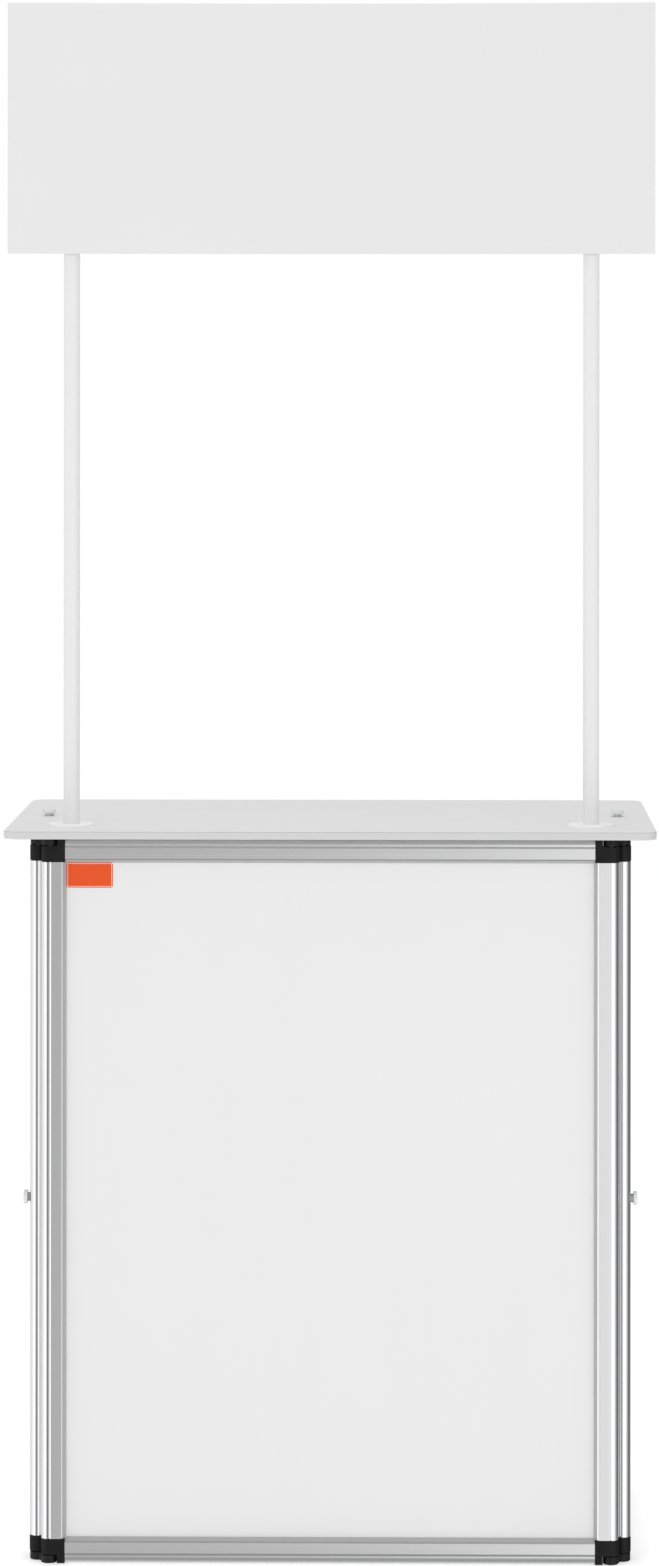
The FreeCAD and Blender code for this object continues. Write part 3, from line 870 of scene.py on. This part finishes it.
def bead_ring(low, high, axis, way):
    """A ring over a panel's opening, as tall as the box along one axis, whose outer face slopes inward."""
    clear_selection()
    bpy.ops.mesh.primitive_cube_add(size=1.0, location=(low + high) / 2)
    bpy.context.object.scale = high - low
    ring = fresh_piece("bead_ring")
    middle = (low + high) / 2
    bpy.ops.object.mode_set(mode="EDIT")
    pick(ring, "FACE", lambda face: face.normal[axis] * way > FACING)
    bpy.ops.mesh.inset(thickness=BEAD_OVER_LIP + BEAD_ON_PANEL, depth=-BEAD_SLOPE)
    pick(ring, "FACE", lambda face: face.normal[axis] * way < -FACING)
    bpy.ops.mesh.inset(thickness=BEAD_OVER_LIP + BEAD_ON_PANEL)

    def is_inner(face):
        """True for the two faces in the middle of the opening."""
        centre = face.calc_center_median()
        return abs(centre[1 - axis] - middle[1 - axis]) + abs(centre.z - middle.z) < BEAD_ON_PANEL

    pick(ring, "FACE", is_inner)
    bpy.ops.mesh.bridge_edge_loops()
    bpy.ops.mesh.select_all(action="SELECT")
    bpy.ops.mesh.normals_make_consistent(inside=False)
    bpy.ops.object.mode_set(mode="OBJECT")
    return ring


print("bead width in mm:", round((BEAD_OVER_LIP + BEAD_ON_PANEL) / MM, 1))

# %% Beads on all three panels
PANELS = (
    ("front", 1, "front_frame", "front_left_stile", "front_right_stile"),
    ("left", 0, "left_side", "left_front_stile", "left_rear_stile"),
    ("right", 0, "right_side", "right_front_stile", "right_rear_stile"),
)
for name, axis, body, first_stile, last_stile in PANELS:
    along = 1 - axis
    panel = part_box(name + "_panel")
    rings = []
    for way, face in ((-1, panel[0][axis]), (1, panel[1][axis])):
        low, high = Vector(), Vector()
        low[along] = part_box(first_stile)[1][along] - BEAD_OVER_LIP
        high[along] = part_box(last_stile)[0][along] + BEAD_OVER_LIP
        low.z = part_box(name + "_bottom_rail")[1].z - BEAD_OVER_LIP
        high.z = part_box(name + "_top_rail")[0].z + BEAD_OVER_LIP
        low[axis] = min(face, face + way * BEAD_TALL)
        high[axis] = max(face, face + way * BEAD_TALL)
        rings.append(bead_ring(low, high, axis, way))
    # Each panel's rings take the grey bead finish, so the painted gap shade runs round every panel.
    dress(joined(rings, name + "_panel_beads_and_gap_shade"), grey_bead_and_gap_shade, body, None)
print("beads on", len(PANELS), "panels")

# %% [markdown]
# ## Label
# The label is a thin film with rounded corners, printed orange right to its edge, with a fine white line
# just inside. Its front face is inset twice: the ring between the two insets stays white, and the rest takes
# the ink. The middle stands a hair proud, as screen print does.

# %% Film with a white line round it
LABEL_BORDER = 1.3 * MM
LABEL_LINE = 0.5 * MM
LABEL_CORNER = 2.0 * MM
CORNER_STEPS = 5
INK_PROUD = 0.05 * MM
label_low, label_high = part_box("panel_label")
clear_selection()
bpy.ops.mesh.primitive_cube_add(size=1.0, location=(label_low + label_high) / 2)
bpy.context.object.scale = label_high - label_low
label = fresh_piece("panel_label_film")
bpy.ops.object.mode_set(mode="EDIT")
bpy.ops.mesh.select_mode(type="EDGE")
bpy.ops.mesh.select_all(action="DESELECT")
mesh = bmesh.from_edit_mesh(label.data)
for edge in mesh.edges:
    start, end = (point.co for point in edge.verts)
    if abs(start.x - end.x) < LABEL_LINE and abs(start.z - end.z) < LABEL_LINE:
        edge.select_set(True)
bmesh.update_edit_mesh(label.data)
bpy.ops.mesh.bevel(offset=LABEL_CORNER, segments=CORNER_STEPS)
pick(label, "FACE", lambda face: face.normal.y < -FACING)
bpy.ops.mesh.inset(thickness=LABEL_BORDER)
bpy.ops.mesh.inset(thickness=LABEL_LINE)
bpy.ops.mesh.extrude_region_move(TRANSFORM_OT_translate={"value": (0, -INK_PROUD, 0)})
bpy.ops.object.mode_set(mode="OBJECT")
dress(label, printed_vinyl, "front_frame", "label", "panel_label")
label.data.materials.append(bare_vinyl)
inner = LABEL_BORDER + LABEL_LINE / 2
line_left, line_right = label_low.x + inner, label_high.x - inner
line_bottom, line_top = label_low.z + inner, label_high.z - inner
for face in label.data.polygons:
    flat = face.normal.y < -FACING
    beside = min(abs(face.center.x - line_left), abs(face.center.x - line_right)) < LABEL_LINE / 2
    above = min(abs(face.center.z - line_bottom), abs(face.center.z - line_top)) < LABEL_LINE / 2
    if flat and (beside or above):
        face.material_index = 1
print("label size in mm:", [round(side / MM, 1) for side in label.dimensions])
